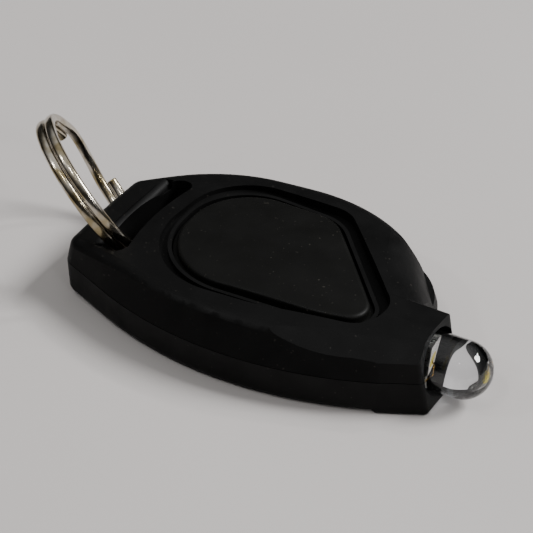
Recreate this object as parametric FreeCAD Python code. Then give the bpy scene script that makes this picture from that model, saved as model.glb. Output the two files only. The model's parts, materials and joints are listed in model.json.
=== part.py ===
import FreeCAD, Part
import math
import os

# Keychain flashlight: two moulded shells around a coin-cell pack, with a press
# button on top, a 5 mm LED in the nose and a split ring through the tail.
# Frame: origin on the rest face below the LED's axis, +X the way the LED
# shines, +Y across the body, +Z up through the button. Millimetres.

os.makedirs("parts", exist_ok=True)
V = FreeCAD.Vector
X_AXIS = V(1, 0, 0)
Y_AXIS = V(0, 1, 0)
Z_AXIS = V(0, 0, 1)
BIG = 60.0

# Driving heights
SPLIT_Z = 3.2            # parting plane between the two shells
SPLIT_GAP = 0.05         # witness line left where the shells meet
FLOOR_Z = 0.9            # inside floor of the lower shell
APEX_Z = 7.0             # highest point of the crowned top
LOFT_TOP = 7.4           # the sloping side walls are drawn up to here
WALL = 1.15
EDGE_R = 1.0             # rounding of the top edge
FOOT_R = 0.8             # rounding of the bottom edge
NOSE_FOOT_R = 0.3

# Crown of the top: gentle along the body, a little tighter across it
CROWN_X, CROWN_Y = 3.0, 3.5
CROWN_R_LONG, CROWN_R_CROSS = 144.0, 90.0

# Plan outlines as rounded polygons, anticlockwise: (x, y, corner radius)
BODY = [(-18.6, -2.9, 1.4), (-0.2, -10.8, 32.9), (13.9, -4.75, 0.9), (13.9, 3.0, 8.0),
        (12.7, 8.0, 7.5), (3.4, 15.4, 18.0), (-12.0, 14.6, 16.7), (-18.5, 8.7, 1.4)]
BODY_TOP = [(-18.2, -1.9, 1.4), (0.2, -7.4, 32.0), (13.2, -3.9, 0.9), (13.2, 2.6, 8.0),
            (11.8, 7.2, 7.0), (3.0, 13.4, 16.0), (-11.2, 12.8, 15.0), (-18.2, 7.7, 1.4)]
NOSE_FOOT = [(10.5, -4.0, 0.4), (13.2, -5.0, 0.4), (17.1, -3.1, 0.5), (17.1, 3.2, 1.2),
             (10.5, 3.4, 0.4)]
NOSE = [(10.5, -4.0, 0.4), (13.2, -5.0, 0.4), (16.6, -3.3, 0.5), (16.6, 3.3, 1.2),
        (10.5, 3.4, 0.4)]
NOSE_TOP = [(10.5, -3.0, 0.4), (12.6, -4.2, 0.4), (15.95, -3.4, 0.5), (15.95, 3.3, 1.2),
            (10.5, 3.3, 0.4)]
BEVEL_AT = V(11.5, -3.85, 6.2)         # long bevel from the near rim to the nose's corner
BEVEL_OUT = V(0.228, -0.679, 0.697)
PAD = [(-9.8, -3.5, 7.1), (6.3, -3.0, 12.7), (11.5, -1.7, 1.7), (1.5, 9.7, 3.9),
       (-10.1, 10.5, 5.2)]
MOAT = [(-12.0, -4.8, 8.2), (1.3, -4.5, 11.8), (14.3, -2.0, 3.0), (1.9, 11.5, 3.3),
        (-10.8, 12.1, 5.4)]
CAVITY = [(-11.7, -3.6, 1.8), (0.5, -7.9, 22.0), (11.4, -4.0, 1.8), (11.5, 7.4, 5.0),
          (3.2, 13.9, 15.0), (-11.7, 13.1, 5.0)]

# Button and its recess
MOAT_FLOOR = 5.75        # floor of the channel round the button
LEDGE_Z = 5.3            # underside of that floor, which keeps the button in
COLLAR_TOP = 6.25        # thin raised guide round the button's hole
COLLAR_W = 0.35
GUIDE_OUT = 0.3          # the guided part stands this far outside the visible pad
GUIDE_TOP = 5.9
BUTTON_GAP = 0.12        # side clearance of the button in its guide
FLANGE_OUT = 1.0         # flange that holds the button under the ledge
FLANGE_GAP = 0.2
FLANGE_TOP = 5.2
BUTTON_BOTTOM = 4.85
PAD_ROUND = 0.35

# Coin cells, 16 mm by 1.6 mm, two in a stack
CELL_X, CELL_Y = -1.9, 3.6
CELL_R, CELL_H = 8.0, 1.6
CELL_BASE = 1.3
TRAY_TOP = 4.35
TRAY_GAP = 0.12
CAVITY_TAPER = 1.5       # the cavity's walls lean in this much by the crown

# Foam ring that lifts the button, and the strip that it presses on the cell
FOAM_OUT, FOAM_IN, FOAM_H = 6.6, 4.9, 0.32
STRIP_THICK = 0.12
STRIP_HALF = 0.9

# LED, 5 mm
LED_Z = 3.4
LED_R = 2.5
DOME_X = 18.7            # centre of the dome
LED_BACK = 12.6
LED_FLANGE_X = 1.0
LED_FLANGE_R = 2.9
LEAD = 0.5
LEAD_PITCH = 2.54
CUP_X = 16.2             # front of the reflector cup
BORE_GAP = 0.05
MOUTH_R = 2.95           # wider mouth in the nose's front face
MOUTH_X = 15.0

# Tail bar and key-ring slot
SLOT_REAR, SLOT_FRONT = -15.3, -12.9
SLOT_Y0, SLOT_Y1 = -2.9, 9.6
SLOT_BOW = 0.3
BAR_BOTTOM = 2.3         # the ring passes under the bar above the rest face
TAIL_R = 2.2             # rounding of the tail's lower edge
BAR_BACK = -18.6
BAR_EDGE_R = 1.0

# Split ring: one flat wire wound twice
RING_R = 6.95            # middle of the wire
WIRE_RADIAL, WIRE_AXIAL = 0.84, 0.88
WIRE_GAP = 0.04
WIRE_ROUND = 0.22        # corners of the wire
CRANK = 52.0             # degrees over which the wire steps to the second turn
CRANK_STEPS = 8
FREE_END = 106.0         # where the first turn's cut end stands
RING_CENTRE = V(-19.43, 3.2, 6.93)
RING_TILT, RING_TURN = 57.2, 43.43

# Self-tapping screws from below
SCREWS = [(-10.9, -2.0), (-11.0, 10.6), (9.5, 6.2)]
SCREW_R, SCREW_HEAD_R = 0.7, 1.35
SCREW_HEAD_Z, SCREW_SEAT_Z, SCREW_TIP_Z = 0.4, 1.2, 4.7
BOSS_LOW_R, BOSS_TOP_R = 2.0, 1.6


def save(name, shape):
    """Write one node's solid or group of solids."""
    if not shape.isValid():
        raise ValueError(name + " isn't a valid solid")
    shape.exportStep("parts/" + name + ".step")
    print(name, len(shape.Solids), round(shape.Volume, 2))


def rounded(outline, z, grow=0.0):
    """Closed wire of a rounded polygon at height z, grown outwards by `grow`."""
    n = len(outline)
    sides = []
    for i in range(n):
        a = V(outline[i][0], outline[i][1], 0)
        b = V(outline[(i + 1) % n][0], outline[(i + 1) % n][1], 0)
        along = (b - a).normalize()
        sides.append((a + V(along.y, -along.x, 0) * grow, along))
    corners = []
    for i in range(n):
        p, u = sides[i - 1]
        q, w = sides[i]
        turn = u.x * w.y - u.y * w.x
        corners.append((p + u * (((q - p).x * w.y - (q - p).y * w.x) / turn), u, w, turn))
    edges = []
    last = None
    first = None
    for (corner, u, w, turn), (_, _, radius) in zip(corners, outline):
        r = radius + grow if turn > 0 else max(radius - grow, 0.05)
        half = 0.5 * math.acos(max(-1.0, min(1.0, u.dot(w))))
        start = corner - u * (r * math.tan(half))
        end = corner + w * (r * math.tan(half))
        inward = (w - u).normalize()
        middle = corner + inward * (r / math.cos(half) - r)
        if last is not None:
            edges.append(Part.makeLine(last, start))
        else:
            first = start
        edges.append(Part.Arc(start, middle, end).toShape())
        last = end
    edges.append(Part.makeLine(last, first))
    wire = Part.Wire(edges)
    wire.translate(V(0, 0, z))
    return wire


def prism(outline, z0, z1, grow=0.0):
    """Upright solid of a rounded polygon from z0 to z1."""
    return Part.Face(rounded(outline, z0, grow)).extrude(V(0, 0, z1 - z0))


def box(x0, x1, y0, y1, z0, z1):
    return Part.makeBox(x1 - x0, y1 - y0, z1 - z0, V(x0, y0, z0))


def rod(radius, start, length, axis=Z_AXIS):
    return Part.makeCylinder(radius, length, start, axis)


def turned(profile, centre, axis=Z_AXIS, out=X_AXIS):
    """Solid of revolution of (radius, height) points about `axis` through centre."""
    points = [centre + out * r + axis * h for r, h in profile]
    face = Part.Face(Part.makePolygon(points + points[:1]))
    return face.revolve(centre, axis, 360)


def strip(path, thick, y0, y1):
    """Flat strip: an XZ line thickened by `thick` and as wide as y0 to y1."""
    upper = [V(x, y0, z + thick / 2) for x, z in path]
    lower = [V(x, y0, z - thick / 2) for x, z in reversed(path)]
    face = Part.Face(Part.makePolygon(upper + lower + upper[:1]))
    return face.extrude(V(0, y1 - y0, 0))


def crown(drop=0.0):
    """Barrel whose upper face is the crowned top, `drop` below the outside."""
    rl = CROWN_R_LONG - drop
    z_top = APEX_Z - drop
    half = 30.0
    sag = rl - math.sqrt(rl * rl - half * half)
    arc = Part.Arc(V(CROWN_X - half, CROWN_Y, z_top - sag), V(CROWN_X, CROWN_Y, z_top),
                   V(CROWN_X + half, CROWN_Y, z_top - sag)).toShape()
    z_axis = z_top - (CROWN_R_CROSS - drop)
    low = [V(CROWN_X + half, CROWN_Y, z_axis), V(CROWN_X - half, CROWN_Y, z_axis)]
    ends = Part.makePolygon([arc.Vertexes[1].Point] + low + [arc.Vertexes[0].Point])
    face = Part.Face(Part.Wire([arc] + ends.Edges))
    return face.revolve(V(CROWN_X, CROWN_Y, z_axis), X_AXIS, 360)


def body_upper():
    """Upper half without the nose: sloping sides, crowned top, rounded edge."""
    sides = Part.makeLoft([rounded(BODY, SPLIT_Z), rounded(BODY_TOP, LOFT_TOP)], True, True)
    block = sides.common(crown()).removeSplitter()
    top_edges = [e for e in block.Edges if e.BoundBox.ZMin > SPLIT_Z + 0.5]
    return block.makeFillet(EDGE_R, top_edges)


def body_lower():
    """Lower half without the nose: nearly upright sides with a rounded foot."""
    foot_inset = -0.15
    block = Part.makeLoft([rounded(BODY, 0, foot_inset), rounded(BODY, SPLIT_Z)], True, True)
    return block.makeFillet(FOOT_R, [e for e in block.Edges if e.BoundBox.ZMax < 0.01])


def shoulder_cut(back=0.0, down=0.0):
    """What is taken off the far front shoulder, which rolls down to the nose."""
    bend = V(8.6, 5.5, 6.85)
    out = V(0.81, 0.59, 0).normalize()
    bend = bend - out * back - V(0, 0, down)
    roll_r, reach = 3.8, 12.0
    along = V(-out.y, out.x, 0)
    centre = bend - V(0, 0, roll_r)
    arc_end = centre + (out + V(0, 0, 0.35)).normalize() * roll_r
    middle = centre + (out * 0.55 + V(0, 0, 1)).normalize() * roll_r
    arc = Part.Arc(bend, middle, arc_end).toShape()
    corner = arc_end + out * reach
    rest = Part.makePolygon([arc_end, V(corner.x, corner.y, arc_end.z),
                             bend + out * reach + V(0, 0, reach), bend + V(0, 0, reach), bend])
    face = Part.Face(Part.Wire([arc] + rest.Edges))
    face.translate(along * -reach)
    return face.extrude(along * (2.2 * reach))


def near_bevel():
    """Tool that planes the near rim down towards the nose's near corner."""
    block = box(-BIG, BIG, -BIG, BIG, 0, BIG)
    block.Placement = FreeCAD.Placement(BEVEL_AT, FreeCAD.Rotation(Z_AXIS, BEVEL_OUT))
    return block


def nose_upper():
    """Ridge over the LED that runs back into the crown and dips to the front."""
    walls = Part.makeLoft([rounded(NOSE, SPLIT_Z), rounded(NOSE_TOP, LOFT_TOP)], True, True)
    back_x, length, top, dip = 6.5, 12.0, 7.0, -0.35
    section = [(-8.0, SPLIT_Z - 1), (-8.0, 5.7), (-2.6, top - 0.28), (-0.4, top),
               (2.3, top - 0.06), (3.4, top - 1.1), (3.6, SPLIT_Z - 1)]
    points = [V(back_x, y, z) for y, z in section]
    roof = Part.Face(Part.makePolygon(points + points[:1])).extrude(V(length, 0, dip))
    creases = [e for e in roof.Edges if e.Length > length - 0.01 and e.BoundBox.ZMin > 5.0]
    return walls.common(roof.makeFillet(0.5, creases))


def nose_lower():
    """Lower half of the nose; its front face leans forward to the foot."""
    block = Part.makeLoft([rounded(NOSE_FOOT, 0), rounded(NOSE, SPLIT_Z)], True, True)
    return block.makeFillet(NOSE_FOOT_R, [e for e in block.Edges if e.BoundBox.ZMax < 0.01])


def slot_hole():
    """Key-ring slot: round ends, waisted front edge, rear edge bowed to the tail."""
    r = 0.5 * (SLOT_FRONT - SLOT_REAR)
    mid_x = 0.5 * (SLOT_FRONT + SLOT_REAR)
    mid_y = 0.5 * (SLOT_Y0 + SLOT_Y1)
    waist = 0.5 * SLOT_BOW
    front_near = V(SLOT_FRONT + SLOT_BOW, SLOT_Y0 + r, 0)
    front_far = V(SLOT_FRONT + SLOT_BOW, SLOT_Y1 - r, 0)
    rear_near = V(SLOT_REAR + SLOT_BOW, SLOT_Y0 + r, 0)
    rear_far = V(SLOT_REAR + SLOT_BOW, SLOT_Y1 - r, 0)
    arcs = [(front_near, V(SLOT_FRONT - waist, mid_y, 0), front_far),
            (front_far, V(mid_x + SLOT_BOW, SLOT_Y1, 0), rear_far),
            (rear_far, V(SLOT_REAR - waist, mid_y, 0), rear_near),
            (rear_near, V(mid_x + SLOT_BOW, SLOT_Y0, 0), front_near)]
    wire = Part.Wire([Part.Arc(*points).toShape() for points in arcs])
    wire.translate(V(0, 0, -1))
    return Part.Face(wire).extrude(V(0, 0, BIG))


def edge_cut(x, z, r, to_x, to_z):
    """Tool that rounds an edge along Y at (x, z); to_x and to_z point at the bar."""
    over = 0.3
    xs = sorted([x - to_x * over, x + to_x * r])
    zs = sorted([z - to_z * over, z + to_z * r])
    block = box(xs[0], xs[1], SLOT_Y0 + 0.3, SLOT_Y1 - 0.3, zs[0], zs[1])
    return block.cut(rod(r, V(x + to_x * r, -BIG, z + to_z * r), 2 * BIG, Y_AXIS))


def cavity_space(gap, top):
    """Room inside the shells, upright below the split and tapering above it."""
    low = prism(CAVITY, FLOOR_Z, SPLIT_Z, -gap)
    walls = [rounded(CAVITY, SPLIT_Z, -gap), rounded(CAVITY, APEX_Z, -CAVITY_TAPER - gap)]
    high = Part.makeLoft(walls, True, True)
    return low.fuse(high).common(box(-BIG, BIG, -BIG, BIG, FLOOR_Z, top))


def led_seat():
    """Space that the LED and its leads take inside the nose."""
    seat = rod(LED_R + BORE_GAP, V(LED_BACK + 0.5, 0, LED_Z), BIG, X_AXIS)
    flange = rod(LED_FLANGE_R + BORE_GAP, V(LED_BACK - BORE_GAP, 0, LED_Z),
                 LED_FLANGE_X + 2 * BORE_GAP, X_AXIS)
    mouth = rod(MOUTH_R, V(MOUTH_X, 0, LED_Z), BIG, X_AXIS)
    leads = box(10.8, LED_BACK, -0.6, 0.6, FLOOR_Z, 5.2)
    return seat.fuse([flange, mouth, leads])


def upper_shell():
    shell = body_upper().cut(shoulder_cut()).fuse(nose_upper()).cut(near_bevel())
    shell = shell.cut(box(-BIG, BIG, -BIG, BIG, -1, SPLIT_Z + SPLIT_GAP))
    cavity = cavity_space(0.0, APEX_Z).common(crown(WALL)).cut(prism(MOAT, LEDGE_Z, LOFT_TOP, 0.9))
    cavity = cavity.cut(shoulder_cut(0.9, 0.7))
    for x, y in SCREWS:
        cavity = cavity.cut(rod(BOSS_TOP_R, V(x, y, 0), BIG))
    shell = shell.cut(cavity)
    hole_grow = GUIDE_OUT + BUTTON_GAP
    moat = prism(MOAT, MOAT_FLOOR, LOFT_TOP).cut(
        prism(PAD, MOAT_FLOOR, COLLAR_TOP, hole_grow + COLLAR_W))
    bar_edge = edge_cut(SLOT_REAR + SLOT_BOW / 2, 5.6, 0.7, -1, -1)
    shell = shell.cut([moat, prism(PAD, SPLIT_Z, LOFT_TOP, hole_grow), led_seat(), slot_hole(),
                       bar_edge])
    for x, y in SCREWS:
        shell = shell.cut(rod(SCREW_R, V(x, y, 0), SCREW_TIP_Z))
    return shell.removeSplitter()


def lower_shell():
    shell = body_lower().fuse(nose_lower())
    shell = shell.common(box(-BIG, BIG, -BIG, BIG, 0, SPLIT_Z))
    cavity = prism(CAVITY, FLOOR_Z, SPLIT_Z)
    for x, y in SCREWS:
        cavity = cavity.cut(rod(BOSS_LOW_R, V(x, y, 0), BIG))
    tail = box(-20, SLOT_REAR - 1.2, -BIG, BIG, -1, TAIL_R)
    tail = tail.cut(rod(TAIL_R, V(SLOT_REAR - 1.2, -BIG, TAIL_R), 2 * BIG, Y_AXIS))
    ring_way = box(-20, 0.5 * (SLOT_REAR + SLOT_FRONT), SLOT_Y0 + 0.3, SLOT_Y1 + 0.2, -1, BAR_BOTTOM)
    bar_edges = [edge_cut(SLOT_REAR + SLOT_BOW / 2, BAR_BOTTOM, BAR_EDGE_R, -1, 1),
                 edge_cut(BAR_BACK, BAR_BOTTOM, BAR_EDGE_R, 1, 1)]
    shell = shell.cut([cavity, led_seat(), slot_hole(), tail, ring_way] + bar_edges)
    for x, y in SCREWS:
        head = rod(SCREW_HEAD_R + 0.15, V(x, y, -1), 1 + SCREW_SEAT_Z)
        shell = shell.cut([head, rod(SCREW_R + 0.15, V(x, y, 0), BIG)])
    return shell.removeSplitter()


def press_button():
    pad = prism(PAD, BUTTON_BOTTOM, LOFT_TOP).common(crown())
    rim = [e for e in pad.Edges if e.BoundBox.ZMin > GUIDE_TOP]
    pad = pad.makeFillet(PAD_ROUND, rim)
    guide = prism(PAD, BUTTON_BOTTOM, GUIDE_TOP, GUIDE_OUT)
    flange = prism(PAD, BUTTON_BOTTOM, FLANGE_TOP, FLANGE_OUT)
    flange = flange.common(cavity_space(FLANGE_GAP, APEX_Z)).common(crown(WALL + BUTTON_GAP))
    for x, y in SCREWS:
        flange = flange.cut(rod(BOSS_TOP_R + FLANGE_GAP, V(x, y, 0), BIG))
    return pad.fuse([guide, flange]).removeSplitter()


def battery_tray():
    tray = cavity_space(TRAY_GAP, TRAY_TOP)
    tray = tray.cut(rod(CELL_R + 0.1, V(CELL_X, CELL_Y, CELL_BASE), BIG))
    for x, y in SCREWS:
        tray = tray.cut(rod(BOSS_LOW_R + TRAY_GAP, V(x, y, 0), BIG))
    lead_way = box(-1.5, BIG, -0.6, 0.6, FLOOR_Z, CELL_BASE)
    wire_room = box(5.0, BIG, -1.2, 1.2, FLOOR_Z, BIG)
    led_room = rod(LED_FLANGE_R + 0.4, V(10.6, 0, LED_Z), BIG, X_AXIS)
    return tray.cut([lead_way, wire_room, led_room]).removeSplitter()


def cell(label, base):
    """The six pieces of one coin cell, positive can downwards."""
    centre = V(CELL_X, CELL_Y, base)
    can = [(0, 0), (CELL_R, 0), (CELL_R, 1.5), (7.45, 1.5), (7.45, 1.35), (7.75, 1.35),
           (7.75, 0.2), (0, 0.2)]
    gasket = [(7.25, 0.2), (7.75, 0.2), (7.75, 1.35), (7.45, 1.35), (7.45, 0.4), (7.25, 0.4)]
    cap = [(0, 1.4), (0, CELL_H), (7.2, CELL_H), (7.45, 1.35), (7.45, 0.4), (7.25, 0.4),
           (7.25, 1.25), (7.1, 1.4)]
    save(label + "_can", turned(can, centre))
    save(label + "_gasket", turned(gasket, centre))
    save(label + "_cap", turned(cap, centre))
    save(label + "_cathode_pellet", rod(7.2, centre + V(0, 0, 0.2), 0.65))
    save(label + "_separator", rod(7.2, centre + V(0, 0, 0.85), 0.1))
    save(label + "_lithium_disc", rod(6.9, centre + V(0, 0, 0.95), 0.45))


def led_pieces():
    """Epoxy lens cast round two leads, a reflector cup, the die and its wire."""
    axis = V(LED_BACK, 0, LED_Z)
    high = LED_Z + LEAD_PITCH / 2
    low = LED_Z - LEAD_PITCH / 2
    tube = rod(LED_R, axis, DOME_X - LED_BACK, X_AXIS)
    dome = Part.makeSphere(LED_R, V(DOME_X, 0, LED_Z))
    flange = rod(LED_FLANGE_R, axis, LED_FLANGE_X, X_AXIS)
    flange = flange.common(box(0, BIG, -BIG, BIG, 0, LED_Z + LED_R))
    lens = tube.fuse([dome, flange]).removeSplitter()

    upper_path = [(CUP_X - 0.3, high), (11.9, high), (11.4, 4.1), (7.4, 4.1)]
    cathode = strip(upper_path, LEAD, -LEAD / 2, LEAD / 2)
    anvil = box(CUP_X - 1.6, CUP_X, -0.7, 0.7, LED_Z - 0.7, high + LEAD / 2)
    cup_back = CUP_X - 0.35
    cup = Part.makeCone(0.26, 0.46, CUP_X - cup_back, V(cup_back, 0, LED_Z), X_AXIS)
    cathode = cathode.fuse(anvil).cut(cup)

    lower_path = [(CUP_X - 0.3, low), (11.9, low), (11.1, 1.1), (-1.0, 1.1)]
    anode = strip(lower_path[:2] + [(11.3, 1.35)], LEAD, -LEAD / 2, LEAD / 2)
    tail_x = 11.6
    flat = box(-1.0, tail_x, -LEAD / 2, LEAD / 2, FLOOR_Z, CELL_BASE)
    anode = anode.common(box(-BIG, BIG, -BIG, BIG, FLOOR_Z, BIG)).fuse(flat)

    die = box(cup_back, cup_back + 0.15, -0.15, 0.15, LED_Z - 0.15, LED_Z + 0.15)
    wire_points = [V(cup_back + 0.15, 0, LED_Z), V(CUP_X + 0.25, 0, LED_Z - 0.35),
                   V(CUP_X + 0.25, 0, low + 0.35), V(CUP_X - 0.3, 0, low)]
    wire_r = 0.04
    wire = rod(wire_r, wire_points[0], (wire_points[1] - wire_points[0]).Length,
               wire_points[1] - wire_points[0])
    for a, b in zip(wire_points[1:], wire_points[2:]):
        wire = wire.fuse([rod(wire_r, a, (b - a).Length, b - a), Part.makeSphere(wire_r, a)])
    wire = wire.cut([die, cathode, anode])
    phosphor = cup.cut([die, wire])
    lens = lens.cut([cathode, anode, cup, wire])
    save("led_lens", lens)
    save("led_cathode_lead", cathode)
    save("led_anode_lead", anode)
    save("led_die", die)
    save("led_phosphor", phosphor)
    save("led_bond_wire", wire)


def contact_strip():
    """Springy strip from the cathode lead to just above the upper cell's cap."""
    lead_top = 4.1 + LEAD / 2
    mid = lead_top + STRIP_THICK / 2
    path = [(8.6, mid), (7.3, mid), (5.4, 4.74), (0.5, 4.77), (-0.6, 4.72)]
    return strip(path, STRIP_THICK, -STRIP_HALF, STRIP_HALF)


def foam_ring():
    top = CELL_BASE + 2 * CELL_H
    centre = V(CELL_X, CELL_Y, top)
    ring = rod(FOAM_OUT, centre, FOAM_H).cut(rod(FOAM_IN, centre, FOAM_H))
    return ring.cut(box(-2.0, BIG, -STRIP_HALF - 0.3, STRIP_HALF + 0.3, 0, BIG))


def wire_section(level, angle):
    """Outline of the ring's wire, its corners cut off, at `angle` round the ring."""
    half_r, half_a = WIRE_RADIAL / 2, WIRE_AXIAL / 2
    cut_r, cut_a = half_r - WIRE_ROUND, half_a - WIRE_ROUND
    outline = [(cut_r, half_a), (half_r, cut_a), (half_r, -cut_a), (cut_r, -half_a),
               (-cut_r, -half_a), (-half_r, -cut_a), (-half_r, cut_a), (-cut_r, half_a)]
    points = [V(RING_R + r, 0, level + h) for r, h in outline]
    wire = Part.makePolygon(points + points[:1])
    wire.rotate(V(0, 0, 0), Z_AXIS, angle)
    return wire


def split_ring():
    """Two turns of wire side by side, joined where the wire steps across."""
    rise = WIRE_AXIAL + WIRE_GAP
    turn = 360 - CRANK
    low = Part.Face(wire_section(-rise / 2, 0)).revolve(V(0, 0, 0), Z_AXIS, turn)
    high = Part.Face(wire_section(rise / 2, 0)).revolve(V(0, 0, 0), Z_AXIS, turn)
    sections = []
    for i in range(CRANK_STEPS + 1):
        t = i / CRANK_STEPS
        level = rise * (0.5 * t + 1.5 * t * t - t * t * t - 0.5)
        sections.append(wire_section(level, turn + CRANK * t))
    crank = Part.makeLoft(sections, True, True)
    ring = low.fuse([high, crank])
    ring.rotate(V(0, 0, 0), Z_AXIS, FREE_END)
    ring.rotate(V(0, 0, 0), Y_AXIS, RING_TILT)
    ring.rotate(V(0, 0, 0), Z_AXIS, RING_TURN)
    ring.translate(RING_CENTRE)
    return ring


def shell_screws():
    screws = []
    for x, y in SCREWS:
        head = rod(SCREW_HEAD_R, V(x, y, SCREW_HEAD_Z), SCREW_SEAT_Z - SCREW_HEAD_Z)
        shank = rod(SCREW_R, V(x, y, SCREW_SEAT_Z), SCREW_TIP_Z - SCREW_SEAT_Z)
        slot_a = box(x - 0.8, x + 0.8, y - 0.15, y + 0.15, 0, SCREW_HEAD_Z + 0.4)
        slot_b = box(x - 0.15, x + 0.15, y - 0.8, y + 0.8, 0, SCREW_HEAD_Z + 0.4)
        screws.append(head.fuse(shank).cut([slot_a, slot_b]))
    return Part.makeCompound(screws)


save("upper_shell", upper_shell())
save("lower_shell", lower_shell())
save("press_button", press_button())
save("battery_tray", battery_tray())
cell("lower_cell", CELL_BASE)
cell("upper_cell", CELL_BASE + CELL_H)
led_pieces()
save("contact_strip", contact_strip())
save("foam_ring", foam_ring())
save("split_ring", split_ring())
save("shell_screws", shell_screws())
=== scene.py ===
"""Keychain flashlight: finishes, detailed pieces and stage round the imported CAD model.

Everything is in metres in the CAD model's own frame: +X the way the LED shines, +Y
across the case, +Z up through the button, the case resting on z = 0.
"""

import json
import math

import bmesh
import bpy
import numpy as np
from bpy.props import FloatProperty, FloatVectorProperty, IntProperty, PointerProperty
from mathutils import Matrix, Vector


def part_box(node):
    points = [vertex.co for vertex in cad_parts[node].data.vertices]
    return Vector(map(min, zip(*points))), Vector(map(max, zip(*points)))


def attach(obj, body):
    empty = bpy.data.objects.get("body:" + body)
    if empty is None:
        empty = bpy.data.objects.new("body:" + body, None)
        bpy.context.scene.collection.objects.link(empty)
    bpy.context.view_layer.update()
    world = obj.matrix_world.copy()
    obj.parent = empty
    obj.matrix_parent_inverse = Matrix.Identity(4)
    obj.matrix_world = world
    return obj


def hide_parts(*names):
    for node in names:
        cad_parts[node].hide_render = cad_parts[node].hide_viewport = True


bl_info = {
    "name": "Keychain Flashlight",
    "version": (1, 0, 0),
    "blender": (4, 5, 0),
    "location": "View3D > Sidebar > Flashlight",
    "description": "Finishes and detailed pieces for a keychain flashlight",
    "category": "Object",
}

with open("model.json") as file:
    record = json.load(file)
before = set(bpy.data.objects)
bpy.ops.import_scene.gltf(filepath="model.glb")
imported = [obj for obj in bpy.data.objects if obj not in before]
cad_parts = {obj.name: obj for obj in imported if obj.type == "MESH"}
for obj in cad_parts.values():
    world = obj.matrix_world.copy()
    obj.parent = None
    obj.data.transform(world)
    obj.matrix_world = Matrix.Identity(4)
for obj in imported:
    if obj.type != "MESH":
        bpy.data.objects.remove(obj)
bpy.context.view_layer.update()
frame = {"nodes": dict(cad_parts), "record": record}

MM = 0.001
SENSOR_MM = 36.0
FLANGE_LONG = 1.0 * MM    # the LED's flange, along its axis

# Lamps: direction from the object, size across in metres, power in watts
LAMP_DISTANCE = 0.7
LAMPS = [((-0.52, -0.46, 0.72), 0.035, 0.5), ((-0.05, -0.53, 0.85), 0.035, 0.7),
         ((0.70, -0.47, 0.53), 0.030, 0.4), ((0.43, 0.60, 0.67), 0.035, 0.8),
         ((0.62, 0.38, 0.68), 0.26, 8.0)]

LENS_LOW, LENS_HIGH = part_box("led_lens")


def linear(hex_code):
    """Linear RGB of an sRGB hex colour, by the sRGB transfer curve."""
    channels = [int(hex_code[i:i + 2], 16) / 255 for i in (1, 3, 5)]
    return tuple(c / 12.92 if c <= 0.04045 else ((c + 0.055) / 1.055) ** 2.4 for c in channels)


def colour(label, hex_code, about):
    """A colour property with its default given in sRGB hex."""
    return FloatVectorProperty(name=label, description=about, subtype="COLOR", size=3,
                               min=0.0, max=1.0, default=linear(hex_code))


def length(label, value_mm, about):
    """A length property in metres, with its default given in millimetres."""
    return FloatProperty(name=label, description=about, subtype="DISTANCE", unit="LENGTH",
                         precision=5, default=value_mm * MM)


# ---------------------------------------------------------------- settings

class FlashlightCaseSettings(bpy.types.PropertyGroup):
    plastic: colour("Plastic", "#060606", "Colour of the moulded case")
    button: colour("Button", "#090908", "Colour of the button, rubbed a little paler")
    dust: colour("Dust", "#262421", "Colour of the dust that sits in the case's texture")
    tray: colour("Battery tray", "#2a2a2c", "Colour of the tray inside the case")
    grit: length("Texture grit", 0.16, "Size of the grains in the moulded texture")


class FlashlightLedSettings(bpy.types.PropertyGroup):
    epoxy: colour("Epoxy", "#fafcff", "Tint of the clear epoxy")
    tin: colour("Leads", "#dcdad4", "Colour of the tinned leads")
    phosphor: colour("Phosphor", "#d8c63a", "Colour of the phosphor over the die")
    die: colour("Die", "#8c8c9a", "Colour of the light-making die")
    gold: colour("Bond wire", "#e0b25a", "Colour of the bond wire")
    rings: IntProperty(name="Rings", description="Grid steps over the dome", default=64, min=8)
    around: IntProperty(name="Around", description="Grid steps round the lens", default=128, min=8)


class FlashlightRingSettings(bpy.types.PropertyGroup):
    nickel: colour("Nickel", "#c4bdb0", "Colour of the nickel plate")
    tarnish: colour("Tarnish", "#958869", "Colour where the plate has yellowed")
    middle: length("Middle radius", 6.95, "Radius of the middle of the wire")
    radial: length("Wire across", 0.84, "Wire's size along the ring's radius")
    axial: length("Wire along", 0.88, "Wire's size along the ring's axis")
    gap: length("Gap", 0.04, "Gap between the two turns")
    crank: FloatProperty(name="Step", description="Turn over which the wire steps across",
                         subtype="ANGLE", unit="ROTATION", default=math.radians(52))
    free_end: FloatProperty(name="Free end", description="Where the first turn's end stands",
                            subtype="ANGLE", unit="ROTATION", default=math.radians(106))
    steps: IntProperty(name="Steps", description="Grid steps along the wire", default=560, min=60)
    around: IntProperty(name="Around", description="Grid steps round the wire", default=28, min=8)


class FlashlightCellSettings(bpy.types.PropertyGroup):
    steel: colour("Steel", "#b9b8b4", "Colour of the cells' plated steel")
    gasket: colour("Gasket", "#cfccc2", "Colour of the gaskets")
    cathode: colour("Cathode", "#17171a", "Colour of the pressed cathode pellets")
    felt: colour("Separator", "#e6e4dc", "Colour of the felt separators")
    lithium: colour("Lithium", "#b4b4b8", "Colour of the lithium discs")


class FlashlightFittingSettings(bpy.types.PropertyGroup):
    bronze: colour("Contact strip", "#c08a55", "Colour of the phosphor bronze strip")
    foam: colour("Foam", "#2b2b2d", "Colour of the foam ring")
    zinc: colour("Screws", "#9a9da2", "Colour of the zinc-plated screws")


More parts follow.
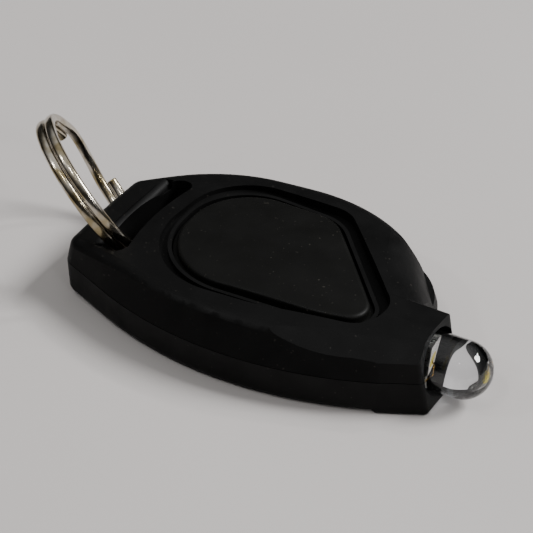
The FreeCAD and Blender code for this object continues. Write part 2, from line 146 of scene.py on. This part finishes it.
class FlashlightStageSettings(bpy.types.PropertyGroup):
    floor: colour("Floor", "#aca8a6", "Colour of the floor")
    room: colour("Room", "#ffffff", "Colour of the room overhead")
    fill: FloatProperty(name="Fill", description="Strength of the room's light", default=0.7)
    azimuth: FloatProperty(name="Azimuth", description="Camera's turn round the object",
                           subtype="ANGLE", unit="ROTATION", default=math.radians(30))
    elevation: FloatProperty(name="Elevation", description="Camera's height angle",
                             subtype="ANGLE", unit="ROTATION", default=math.radians(35))
    distance: length("Distance", 224.0, "Camera's distance from what it looks at")
    focal: FloatProperty(name="Lens", description="Focal length on a 36 mm sensor, in mm",
                         default=180.0, min=10.0)


# ---------------------------------------------------------------- node helpers

def material(name):
    """A fresh node material and its tree, with an output and nothing else."""
    made = bpy.data.materials.new(name)
    made.use_nodes = True
    made.node_tree.nodes.clear()
    return made, made.node_tree


def add(tree, kind, links=None, **settings):
    """Add a node: settings are its properties, links its inputs' values or sources."""
    node = tree.nodes.new(kind)
    for key, value in settings.items():
        setattr(node, key, value)
    for key, value in (links or {}).items():
        if isinstance(value, bpy.types.NodeSocket):
            tree.links.new(value, node.inputs[key])
        else:
            node.inputs[key].default_value = value
    return node


def ramp(tree, source, stops):
    """A colour ramp over `source`, with (position, linear colour) stops."""
    node = add(tree, "ShaderNodeValToRGB", {"Fac": source})
    elements = node.color_ramp.elements
    while len(elements) < len(stops):
        elements.new(0.5)
    for element, (position, rgb) in zip(elements, stops):
        element.position = position
        element.color = (*rgb, 1.0)
    return node.outputs["Color"]


def shade(rgb, factor):
    """The same colour, lighter or darker by a factor."""
    return tuple(min(1.0, c * factor) for c in rgb)


def finish_material(tree, shader):
    """Link a shader to the material's output."""
    add(tree, "ShaderNodeOutputMaterial", {"Surface": shader.outputs[0]})


def object_coords(tree):
    """Object coordinates, in metres."""
    return add(tree, "ShaderNodeTexCoord").outputs["Object"]


def noise(tree, coords, size, detail=2.0, **more):
    """Noise whose lumps are `size` metres across."""
    links = {"Vector": coords, "Scale": 1.0 / size, "Detail": detail, **more}
    return add(tree, "ShaderNodeTexNoise", links).outputs["Fac"]


# ---------------------------------------------------------------- materials

def moulded_abs(name, rgb, dust, grit, roughness=(0.42, 0.60)):
    """Injection-moulded plastic from a spark-eroded mould: a fine matt grain that
    breaks the sheen up, slight cloudiness, and specks of dust in the grain."""
    made, tree = material(name)
    coords = object_coords(tree)
    cloud = noise(tree, coords, 5 * MM, 3.0)
    base = ramp(tree, cloud, [(0.3, shade(rgb, 0.92)), (0.7, shade(rgb, 1.08))])
    speck = noise(tree, coords, 0.32 * MM, 1.0)
    mask = add(tree, "ShaderNodeMapRange",
               {"Value": speck, "From Min": 0.72, "From Max": 0.80}).outputs["Result"]
    dusty = add(tree, "ShaderNodeMix", {"Factor": mask, "A": base, "B": (*dust, 1.0)},
                data_type="RGBA")
    grain = noise(tree, coords, grit, 2.0)
    waves = noise(tree, coords, 2.6 * MM, 2.0)
    rough = add(tree, "ShaderNodeMapRange",
                {"Value": waves, "From Min": 0.3, "From Max": 0.7,
                 "To Min": roughness[0], "To Max": roughness[1]}).outputs["Result"]
    fine = add(tree, "ShaderNodeBump", {"Strength": 0.35, "Distance": 0.02 * MM, "Height": grain})
    sink = add(tree, "ShaderNodeBump", {"Strength": 0.25, "Distance": 0.05 * MM, "Height": waves,
                                        "Normal": fine.outputs["Normal"]})
    finish_material(tree, add(tree, "ShaderNodeBsdfPrincipled",
                              {"Base Color": dusty.outputs["Result"], "Roughness": rough,
                               "IOR": 1.54, "Specular IOR Level": 0.10,
                               "Normal": sink.outputs["Normal"]}))
    return made


def cast_epoxy(name, rgb):
    """Clear cast epoxy: a glass-smooth lens with faint flow marks from its mould."""
    made, tree = material(name)
    coords = object_coords(tree)
    flow = noise(tree, coords, 1.5 * MM, 1.0)
    rough = add(tree, "ShaderNodeMapRange",
                {"Value": flow, "From Min": 0.4, "From Max": 0.8,
                 "To Min": 0.0, "To Max": 0.03}).outputs["Result"]
    marks = add(tree, "ShaderNodeBump", {"Strength": 0.04, "Distance": 0.02 * MM, "Height": flow})
    finish_material(tree, add(tree, "ShaderNodeBsdfPrincipled",
                              {"Base Color": (*rgb, 1.0), "Roughness": rough, "IOR": 1.53,
                               "Transmission Weight": 1.0, "Normal": marks.outputs["Normal"]}))
    return made


def plated_metal(name, rgb, roughness, stretch, size, depth=0.004):
    """Plated or rolled metal: bright, with fine marks drawn out along one way.
    `stretch` is how much longer the marks are along X, Y and Z."""
    made, tree = material(name)
    coords = object_coords(tree)
    drawn = add(tree, "ShaderNodeMapping", {"Vector": coords, "Scale": stretch})
    marks = noise(tree, drawn.outputs["Vector"], size, 2.0)
    stain = noise(tree, coords, 1.8 * MM, 2.0)
    base = ramp(tree, stain, [(0.35, shade(rgb, 0.80)), (0.65, rgb)])
    rough = add(tree, "ShaderNodeMapRange",
                {"Value": marks, "From Min": 0.3, "From Max": 0.7,
                 "To Min": roughness[0], "To Max": roughness[1]}).outputs["Result"]
    bump = add(tree, "ShaderNodeBump", {"Strength": 0.5, "Distance": depth * MM, "Height": marks})
    finish_material(tree, add(tree, "ShaderNodeBsdfPrincipled",
                              {"Base Color": base, "Metallic": 1.0, "Roughness": rough,
                               "Normal": bump.outputs["Normal"]}))
    return made


def nickel_wire(name, rgb, tarnish):
    """Nickel-plated spring wire: drawing lines run along the wire, read from its
    UV map, and the plate yellows a little in patches."""
    made, tree = material(name)
    along = add(tree, "ShaderNodeUVMap", uv_map="wire").outputs["UV"]
    drawn = add(tree, "ShaderNodeMapping", {"Vector": along, "Scale": (2.0, 26.0, 1.0)})
    lines = noise(tree, drawn.outputs["Vector"], 1.0, 2.0)
    patches = noise(tree, object_coords(tree), 1.6 * MM, 2.0)
    base = ramp(tree, patches, [(0.38, tarnish), (0.60, rgb)])
    rough = add(tree, "ShaderNodeMapRange",
                {"Value": lines, "From Min": 0.3, "From Max": 0.7,
                 "To Min": 0.10, "To Max": 0.26}).outputs["Result"]
    bump = add(tree, "ShaderNodeBump", {"Strength": 0.35, "Distance": 0.006 * MM, "Height": lines})
    finish_material(tree, add(tree, "ShaderNodeBsdfPrincipled",
                              {"Base Color": base, "Metallic": 1.0, "Roughness": rough,
                               "Normal": bump.outputs["Normal"]}))
    return made


def powder(name, rgb, grain, roughness):
    """A matt granular finish, such as pressed powder, foam or felt."""
    made, tree = material(name)
    coords = object_coords(tree)
    grains = noise(tree, coords, grain, 3.0)
    base = ramp(tree, grains, [(0.35, shade(rgb, 0.55)), (0.65, shade(rgb, 1.2))])
    bump = add(tree, "ShaderNodeBump", {"Strength": 0.8, "Distance": grain * 0.4,
                                        "Height": grains})
    finish_material(tree, add(tree, "ShaderNodeBsdfPrincipled",
                              {"Base Color": base, "Roughness": roughness,
                               "Normal": bump.outputs["Normal"]}))
    return made


def painted_floor(name, rgb):
    """Pale matt worktop: nearly even, with a slight cloud and a fine tooth."""
    made, tree = material(name)
    coords = object_coords(tree)
    cloud = noise(tree, coords, 60 * MM, 3.0)
    base = ramp(tree, cloud, [(0.3, shade(rgb, 0.97)), (0.7, shade(rgb, 1.03))])
    tooth = noise(tree, coords, 0.8 * MM, 2.0)
    bump = add(tree, "ShaderNodeBump", {"Strength": 0.1, "Distance": 0.05 * MM, "Height": tooth})
    finish_material(tree, add(tree, "ShaderNodeBsdfPrincipled",
                              {"Base Color": base, "Roughness": 0.6,
                               "Normal": bump.outputs["Normal"]}))
    return made


def wear(made, *nodes):
    """Give CAD nodes one material in every slot."""
    for name in nodes:
        for slot in frame["nodes"][name].material_slots:
            slot.material = made


# ---------------------------------------------------------------- surfaces

def grid_mesh(name, points, closed_rows=False, uv=None):
    """Closed mesh of a grid of points, shape (rows, columns, 3). Columns wrap round.
    Rows wrap too where `closed_rows` is set; otherwise the first and the last row are
    poles whose points coincide, and they are merged to one point each."""
    rows, columns = points.shape[:2]
    i = np.arange(rows if closed_rows else rows - 1)[:, None]
    j = np.arange(columns)[None, :]
    ahead = (i + 1) % rows
    beside = (j + 1) % columns
    quads = np.stack([i * columns + j, i * columns + beside,
                      ahead * columns + beside, ahead * columns + j], axis=-1).reshape(-1, 4)
    mesh = bpy.data.meshes.new(name)
    mesh.from_pydata(points.reshape(-1, 3).tolist(), [], quads.tolist())
    if uv is not None:
        layer = mesh.uv_layers.new(name="wire")
        layer.data.foreach_set("uv", uv.reshape(-1, 2)[quads.reshape(-1)].reshape(-1))
    work = bmesh.new()
    work.from_mesh(mesh)
    bmesh.ops.remove_doubles(work, verts=work.verts, dist=0.0001 * MM)
    bmesh.ops.recalc_face_normals(work, faces=work.faces)
    work.to_mesh(mesh)
    work.free()
    mesh.polygons.foreach_set("use_smooth", np.ones(len(mesh.polygons), bool))
    mesh.update()
    return mesh


def place(name, mesh, body, made, slot, *replaced):
    """Link a finished mesh as a piece that rides on a body and stands for CAD nodes."""
    piece = bpy.data.objects.new(name, mesh)
    bpy.context.scene.collection.objects.link(piece)
    mesh.materials.append(made)
    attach(piece, body)
    if replaced:
        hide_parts(*replaced)
    return piece


def lens_mesh(name, rings, around):
    """Surface of revolution about the LED's axis. The profile's radius grows across the
    flat back, steps in from the flange to the barrel, and closes over the dome as
    sqrt(R^2 - x^2); the flange's top is cut flat level with the barrel."""
    middle = LENS_LOW.z + 0.5 * (LENS_HIGH.y - LENS_LOW.y)
    flange = 0.5 * (LENS_HIGH.y - LENS_LOW.y)
    barrel = LENS_HIGH.z - middle
    back, tip = LENS_LOW.x, LENS_HIGH.x
    dome = tip - barrel
    soft = 0.12 * MM
    step = back + FLANGE_LONG
    barrel_steps = 12
    quarter = np.linspace(0, 0.5 * math.pi, 7)
    x = np.concatenate([[back], back + soft * (1 - np.cos(quarter)),
                        step - soft * (1 - np.sin(quarter)),
                        [step], step + soft * (1 - np.cos(quarter)),
                        np.linspace(step + 0.3 * MM, dome, barrel_steps)])
    r = np.concatenate([[0.0], flange - soft * (1 - np.sin(quarter)),
                        flange - soft * (1 - np.cos(quarter)),
                        [barrel + 0.2 * MM], barrel + soft * (1 - np.sin(quarter)),
                        np.full(barrel_steps, barrel)])
    turn = np.linspace(0, 0.5 * math.pi, rings)[1:]
    x = np.concatenate([x, dome + barrel * np.sin(turn)])
    r = np.concatenate([r, barrel * np.cos(turn)])
    r[-1] = 0.0
    angle = np.linspace(0, 2 * math.pi, around, endpoint=False)
    points = np.stack(np.broadcast_arrays(x[:, None], r[:, None] * np.cos(angle)[None, :],
                                          middle + r[:, None] * np.sin(angle)[None, :]), axis=-1)
    points = points.copy()
    points[..., 2] = np.minimum(points[..., 2], LENS_HIGH.z)
    return grid_mesh(name, points)


def ring_mesh(name, ring, steps, around):
    """A rounded wire carried along two turns of a circle. The wire's level is
    rise * (t/2 + 3/2 t^2 - t^3 - 1/2), where t runs from 0 to 1 over the step between the
    turns. Its section is the superellipse (cos^p, sin^p), and both ends are domed."""
    mount = next(m for m in frame["record"]["mounts"] if m["name"] == "split_ring_loop")
    axis = np.array(mount["axis"], float)
    axis = axis / np.linalg.norm(axis)
    flat = np.array([axis[0], axis[1], 0.0]) / math.hypot(axis[0], axis[1])
    out = flat * axis[2] - np.array([0.0, 0.0, math.hypot(axis[0], axis[1])])
    side = np.cross(axis, out)

    rise = ring.axial + ring.gap
    end_depth = 0.10 * MM / ring.middle
    total = 4 * math.pi - ring.crank
    body_angle = np.linspace(end_depth, total - end_depth, steps)
    dome = np.linspace(0, 0.5 * math.pi, 6)[:-1]
    angle = np.concatenate([end_depth * (1 - np.cos(dome)), body_angle,
                            total - end_depth * (1 - np.cos(dome[::-1]))])
    shrink = np.concatenate([np.sin(dome), np.ones(steps), np.sin(dome[::-1])])
    blunt = 0.35
    shrink = np.where((shrink > 0) & (shrink < 1), shrink ** blunt, shrink)
    t = np.clip((angle - (2 * math.pi - ring.crank)) / ring.crank, 0, 1)
    level = rise * (0.5 * t + 1.5 * t ** 2 - t ** 3 - 0.5)

    round_wire = np.linspace(0, 2 * math.pi, around, endpoint=False)
    power = 0.72
    across = 0.5 * ring.radial * np.sign(np.cos(round_wire)) * np.abs(np.cos(round_wire)) ** power
    along = 0.5 * ring.axial * np.sign(np.sin(round_wire)) * np.abs(np.sin(round_wire)) ** power
    radius = ring.middle + shrink[:, None] * across[None, :]
    height = level[:, None] + shrink[:, None] * along[None, :]
    theta = (angle + ring.free_end)[:, None, None]
    points = (radius[..., None] * (np.cos(theta) * out + np.sin(theta) * side)
              + height[..., None] * axis + np.array(mount["pos_m"]))
    uv = np.stack(np.broadcast_arrays(angle[:, None] * ring.middle / MM,
                                      round_wire[None, :] / (2 * math.pi)), axis=-1)
    return grid_mesh(name, points, uv=uv.astype(np.float32))


# ---------------------------------------------------------------- operators

class FLASHLIGHT_OT_case(bpy.types.Operator):
    """Finish the two shells, the button and the tray"""
    bl_idname = "flashlight.case"
    bl_label = "Case and button"

    def execute(self, context):
        case = context.scene.flashlight_case
        shell = moulded_abs("Moulded black ABS", case.plastic, case.dust, case.grit)
        wear(shell, "upper_shell", "lower_shell")
        pad = moulded_abs("Moulded black ABS, rubbed", case.button, case.dust, case.grit)
        wear(pad, "press_button")
        tray = moulded_abs("Moulded grey-black ABS", case.tray, case.dust, case.grit)
        wear(tray, "battery_tray")
        return {"FINISHED"}


class FLASHLIGHT_OT_led(bpy.types.Operator):
    """Build the LED's lens and finish the pieces inside it"""
    bl_idname = "flashlight.led"
    bl_label = "LED"

    def execute(self, context):
        led = context.scene.flashlight_led
        lens = lens_mesh("led_clear_lens", led.rings, led.around)
        place("led_clear_lens", lens, "case", cast_epoxy("Cast clear epoxy", led.epoxy),
              "epoxy_clear", "led_lens")
        wear(plated_metal("Tinned steel lead", led.tin, (0.22, 0.40), (1, 8, 8), 0.5 * MM),
             "led_cathode_lead", "led_anode_lead")
        wear(powder("Phosphor in silicone", led.phosphor, 0.05 * MM, 0.5), "led_phosphor")
        wear(plated_metal("Diced crystal", led.die, (0.15, 0.25), (1, 1, 1), 0.05 * MM), "led_die")
        wear(plated_metal("Gold wire", led.gold, (0.12, 0.2), (1, 1, 1), 0.05 * MM),
             "led_bond_wire")
        return {"FINISHED"}


class FLASHLIGHT_OT_ring(bpy.types.Operator):
    """Build the split ring"""
    bl_idname = "flashlight.ring"
    bl_label = "Split ring"

    def execute(self, context):
        ring = context.scene.flashlight_ring
        mesh = ring_mesh("split_ring_wire", ring, ring.steps, ring.around)
        place("split_ring_wire", mesh, "key_ring",
              nickel_wire("Nickel-plated spring wire", ring.nickel, ring.tarnish),
              "nickel_plated_steel", "split_ring")
        return {"FINISHED"}


class FLASHLIGHT_OT_cells(bpy.types.Operator):
    """Finish both coin cells, piece by piece"""
    bl_idname = "flashlight.cells"
    bl_label = "Coin cells"

    def execute(self, context):
        cell = context.scene.flashlight_cells
        steel = plated_metal("Nickel-plated cell steel", cell.steel, (0.2, 0.38), (1, 12, 1),
                             0.6 * MM)
        finishes = {
            "can": steel,
            "cap": steel,
            "gasket": moulded_abs("Moulded polypropylene", cell.gasket, cell.gasket, 0.2 * MM),
            "cathode_pellet": powder("Pressed black powder", cell.cathode, 0.12 * MM, 0.9),
            "separator": powder("Non-woven felt", cell.felt, 0.25 * MM, 0.95),
            "lithium_disc": plated_metal("Punched soft foil", cell.lithium, (0.4, 0.6),
                                         (1, 6, 1), 0.8 * MM),
        }
        for piece, made in finishes.items():
            wear(made, "lower_cell_" + piece, "upper_cell_" + piece)
        return {"FINISHED"}


class FLASHLIGHT_OT_fittings(bpy.types.Operator):
    """Finish the contact strip, the foam ring and the screws"""
    bl_idname = "flashlight.fittings"
    bl_label = "Contacts and screws"

    def execute(self, context):
        parts = context.scene.flashlight_fittings
        wear(plated_metal("Rolled phosphor bronze", parts.bronze, (0.2, 0.35), (1, 14, 1),
                          0.5 * MM), "contact_strip")
        wear(powder("Closed-cell foam", parts.foam, 0.18 * MM, 0.85), "foam_ring")
        wear(plated_metal("Zinc-plated screw steel", parts.zinc, (0.3, 0.5), (1, 1, 4), 0.3 * MM),
             "shell_screws")
        return {"FINISHED"}


class FLASHLIGHT_OT_stage(bpy.types.Operator):
    """Lay the floor, hang the lamps and set up the camera"""
    bl_idname = "flashlight.stage"
    bl_label = "Floor, lamps and camera"

    def execute(self, context):
        stage = context.scene.flashlight_stage
        half = 0.8
        below = -0.01 * MM
        corners = np.array([[-half, -half, below], [half, -half, below], [half, half, below],
                            [-half, half, below]])
        mesh = bpy.data.meshes.new("floor")
        mesh.from_pydata(corners.tolist(), [], [[0, 1, 2, 3]])
        mesh.materials.append(painted_floor("Matt pale worktop", stage.floor))
        floor = bpy.data.objects.new("floor", mesh)
        context.scene.collection.objects.link(floor)
        add_sky(context.scene, stage)
        for direction, size, power in LAMPS:
            hang_lamp(context.scene, direction, size, power)
        add_camera(context.scene, stage)
        return {"FINISHED"}


def hang_lamp(scene, direction, size, power):
    """A round soft lamp, `LAMP_DISTANCE` from the object, facing it."""
    light = bpy.data.lights.new("lamp", "AREA")
    light.shape = "DISK"
    light.size = size
    light.energy = power
    lamp = bpy.data.objects.new("lamp", light)
    towards = Vector(direction).normalized()
    lamp.location = towards * LAMP_DISTANCE
    lamp.rotation_euler = towards.to_track_quat("Z", "Y").to_euler()
    scene.collection.objects.link(lamp)


def add_sky(scene, stage):
    """An even room: dim at the horizon, brighter overhead."""
    world = bpy.data.worlds.new("room")
    scene.world = world
    world.use_nodes = True
    tree = world.node_tree
    tree.nodes.clear()
    height = add(tree, "ShaderNodeSeparateXYZ",
                 {"Vector": add(tree, "ShaderNodeTexCoord").outputs["Generated"]})
    walls = ramp(tree, height.outputs["Z"], [(0.0, shade(stage.room, 0.02)),
                                             (0.45, shade(stage.room, 0.06)),
                                             (0.85, stage.room)])
    sky = add(tree, "ShaderNodeBackground", {"Color": walls, "Strength": stage.fill})
    add(tree, "ShaderNodeOutputWorld", {"Surface": sky.outputs[0]})


def add_camera(scene, stage):
    """A long lens that looks at the middle of the case's top."""
    aim = Vector((0, 0, 7 * MM))
    back = Vector((math.sin(stage.azimuth) * math.cos(stage.elevation),
                   -math.cos(stage.azimuth) * math.cos(stage.elevation),
                   math.sin(stage.elevation)))
    lens = bpy.data.cameras.new("camera")
    lens.lens = stage.focal
    lens.sensor_width = SENSOR_MM
    lens.clip_start = 0.01
    lens.clip_end = 10.0
    lens.shift_x = 0.001
    lens.shift_y = 0.003
    camera = bpy.data.objects.new("camera", lens)
    camera.location = aim + back * stage.distance
    camera.rotation_euler = back.to_track_quat("Z", "Y").to_euler()
    scene.collection.objects.link(camera)
    scene.camera = camera


class FLASHLIGHT_PT_panel(bpy.types.Panel):
    """Sidebar panel with every piece's settings and its button"""
    bl_idname = "FLASHLIGHT_PT_panel"
    bl_label = "Keychain flashlight"
    bl_space_type = "VIEW_3D"
    bl_region_type = "UI"
    bl_category = "Flashlight"

    def draw(self, context):
        for attribute, (group, operator) in PIECES.items():
            box = self.layout.box()
            settings = getattr(context.scene, attribute)
            for name in group.__annotations__:
                box.prop(settings, name)
            box.operator(operator.bl_idname)


PIECES = {
    "flashlight_case": (FlashlightCaseSettings, FLASHLIGHT_OT_case),
    "flashlight_led": (FlashlightLedSettings, FLASHLIGHT_OT_led),
    "flashlight_ring": (FlashlightRingSettings, FLASHLIGHT_OT_ring),
    "flashlight_cells": (FlashlightCellSettings, FLASHLIGHT_OT_cells),
    "flashlight_fittings": (FlashlightFittingSettings, FLASHLIGHT_OT_fittings),
    "flashlight_stage": (FlashlightStageSettings, FLASHLIGHT_OT_stage),
}


def register():
    for attribute, (group, operator) in PIECES.items():
        bpy.utils.register_class(group)
        bpy.utils.register_class(operator)
        setattr(bpy.types.Scene, attribute, PointerProperty(type=group))
    bpy.utils.register_class(FLASHLIGHT_PT_panel)


def unregister():
    bpy.utils.unregister_class(FLASHLIGHT_PT_panel)
    for attribute, (group, operator) in reversed(PIECES.items()):
        delattr(bpy.types.Scene, attribute)
        bpy.utils.unregister_class(operator)
        bpy.utils.unregister_class(group)


def main():
    """Register the add-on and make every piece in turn."""
    register()
    bpy.ops.flashlight.case()
    bpy.ops.flashlight.led()
    bpy.ops.flashlight.ring()
    bpy.ops.flashlight.cells()
    bpy.ops.flashlight.fittings()
    bpy.ops.flashlight.stage()


if __name__ == "__main__":
    main()
